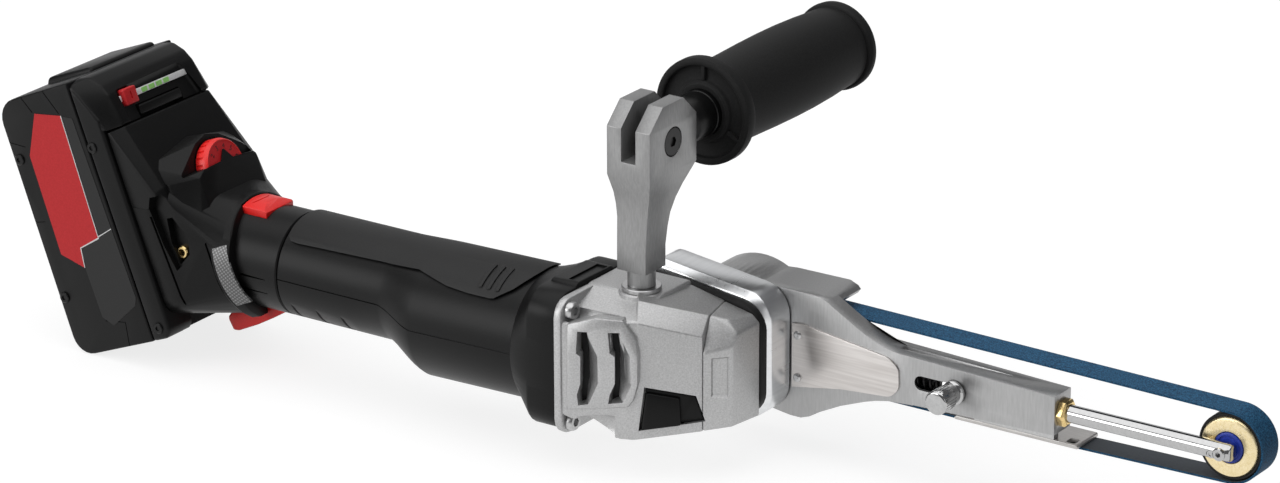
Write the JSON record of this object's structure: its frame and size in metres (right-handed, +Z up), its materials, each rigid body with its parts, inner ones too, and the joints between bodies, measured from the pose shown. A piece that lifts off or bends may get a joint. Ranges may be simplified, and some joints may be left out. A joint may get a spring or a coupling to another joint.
{
  "type": "power file",
  "caption": "Cordless belt file: battery handle that turns, motor barrel, bevel gear head, swinging side handle and a sprung narrow-belt arm with a contact roller.",
  "frame": {"origin": "point where the motor axis crosses the spindle axis, inside the gear head", "axes": "+X along the motor axis towards the belt arm's roller, +Y along the spindle axis towards the belt, +Z up"},
  "size_m": [0.6087, 0.1987, 0.1735],
  "materials": {
    "black_plastic": "fine matt grain",
    "soft_grip": "matt rubber",
    "red_plastic": "satin",
    "cast_aluminium": "bead-blasted satin",
    "bright_aluminium": "machined satin",
    "brushed_plate": "brushed",
    "steel": "machined",
    "chrome": "polished",
    "brass": "machined",
    "roller_gold": "turned satin",
    "blue_seal": "satin",
    "black_rubber": "matt rubber",
    "belt_cloth": "fine abrasive grain",
    "grey_mesh": "woven",
    "black_steel": "black oxide",
    "green_board": "solder mask",
    "cell_wrap": "plastic-wrapped",
    "pale_gauge": "satin",
    "copper_iron": "laminated"
  },
  "bodies": {
    "tool": {"motor_housing": "black_plastic", "grip_sleeve": "soft_grip", "head_ring": "black_plastic", "gear_housing": "cast_aluminium", "gear_screws": "steel", "seal_ring": "black_rubber", "bearing_flange": "bright_aluminium", "flange_screws": "steel", "arm_housing": "cast_aluminium", "side_plate": "brushed_plate", "side_plate_rivets": "chrome", "gland_nut": "brass", "support_plate": "brushed_plate", "support_bracket": "steel", "handle_post": "cast_aluminium", "post_washer": "steel", "clamp_bolt": "black_steel", "clamp_nut": "black_steel", "stator": "copper_iron", "motor_bearings": "chrome", "spindle_bearings": "chrome", "tension_spring": "steel", "abrasive_belt": "belt_cloth"},
    "rotor": {"rotor": "copper_iron", "fan": "black_plastic", "drive_pinion": "steel"},
    "spindle": {"spindle": "steel", "crown_gear": "steel", "drive_wheel": "black_rubber", "wheel_screw": "chrome"},
    "spindle_lock": {"spindle_lock_button": "black_plastic"},
    "carriage": {"tension_slider": "steel", "tension_rod": "chrome", "tension_knob": "chrome", "roller_axle": "chrome"},
    "roller": {"contact_roller": "roller_gold", "roller_tyre": "black_rubber", "roller_bearing": "blue_seal"},
    "rear": {"rear_housing": "black_plastic", "dust_screens": "grey_mesh", "rear_screws": "brass", "control_board": "green_board", "switch_module": "black_plastic", "terminal_block": "brass"},
    "dial": {"speed_dial": "red_plastic"},
    "lock": {"lock_button": "red_plastic"},
    "paddle": {"paddle": "red_plastic"},
    "battery": {"battery_case": "black_plastic", "battery_lid": "black_plastic", "battery_panels": "red_plastic", "battery_screws": "black_steel", "battery_cells": "cell_wrap", "cell_holders": "black_plastic", "charge_gauge": "pale_gauge"},
    "gauge_button": {"gauge_button": "red_plastic"},
    "release": {"battery_release": "black_plastic"},
    "handle": {"handle_stem": "black_steel", "handle_grip": "black_rubber", "handle_end_cap": "black_rubber"}
  },
  "joints": [
    {"name": "handle_swing", "type": "hinge", "parent": "tool", "child": "handle", "pos_m": [-0.018, 0.008, 0.0995], "axis": [1, 0, 0], "range_deg": [0, 180]},
    {"name": "rear_turn", "type": "hinge", "parent": "tool", "child": "rear", "pos_m": [-0.201, 0, 0.0045], "axis": [1, 0, 0], "range_deg": [-90, 180]},
    {"name": "dial_turn", "type": "hinge", "parent": "rear", "child": "dial", "pos_m": [-0.25315, 0, 0.0399], "axis": [0.9304, 0, 0.3665], "range_deg": [-130, 130]},
    {"name": "lock_press", "type": "slide", "parent": "rear", "child": "lock", "axis": [0, 0, -1], "range_m": [0, 0.0015], "stiffness_N_per_m": 800, "springref_m": -0.001},
    {"name": "paddle_squeeze", "type": "hinge", "parent": "rear", "child": "paddle", "pos_m": [-0.20935, 0, -0.0156], "axis": [0, 1, 0], "range_deg": [0, 6], "stiffness_Nm_per_rad": 2, "springref_deg": -2.86},
    {"name": "battery_slide", "type": "slide", "parent": "rear", "child": "battery", "axis": [-0.3665, 0, 0.9304], "range_m": [0, 0.09]},
    {"name": "gauge_press", "type": "slide", "parent": "battery", "child": "gauge_button", "axis": [-0.9304, 0, -0.3665], "range_m": [0, 0.0012], "stiffness_N_per_m": 500, "springref_m": -0.001},
    {"name": "release_press", "type": "slide", "parent": "battery", "child": "release", "axis": [-0.9304, 0, -0.3665], "range_m": [0, 0.002], "stiffness_N_per_m": 800, "springref_m": -0.001},
    {"name": "spindle_lock_press", "type": "slide", "parent": "tool", "child": "spindle_lock", "axis": [-0.5039, 0.8638, 0], "range_m": [0, 0.003], "stiffness_N_per_m": 800, "springref_m": -0.001},
    {"name": "spindle_spin", "type": "hinge", "parent": "tool", "child": "spindle", "pos_m": [0, 0, 0], "axis": [0, 1, 0], "continuous": true},
    {"name": "rotor_spin", "type": "hinge", "parent": "tool", "child": "rotor", "pos_m": [0, 0, 0], "axis": [1, 0, 0], "continuous": true},
    {"name": "tension_slide", "type": "slide", "parent": "tool", "child": "carriage", "axis": [1, 0, 0], "range_m": [-0.015, 0], "stiffness_N_per_m": 400, "springref_m": 0.02, "deforming": ["tension_spring", "abrasive_belt"]},
    {"name": "roller_spin", "type": "hinge", "parent": "carriage", "child": "roller", "pos_m": [0.2425, 0, -0.001], "axis": [0, 1, 0], "continuous": true}
  ],
  "couplings": [
    {"joint": "rotor_spin", "follows": "spindle_spin", "ratio": 3},
    {"joint": "roller_spin", "follows": "spindle_spin", "ratio": 1.1333}
  ]
}
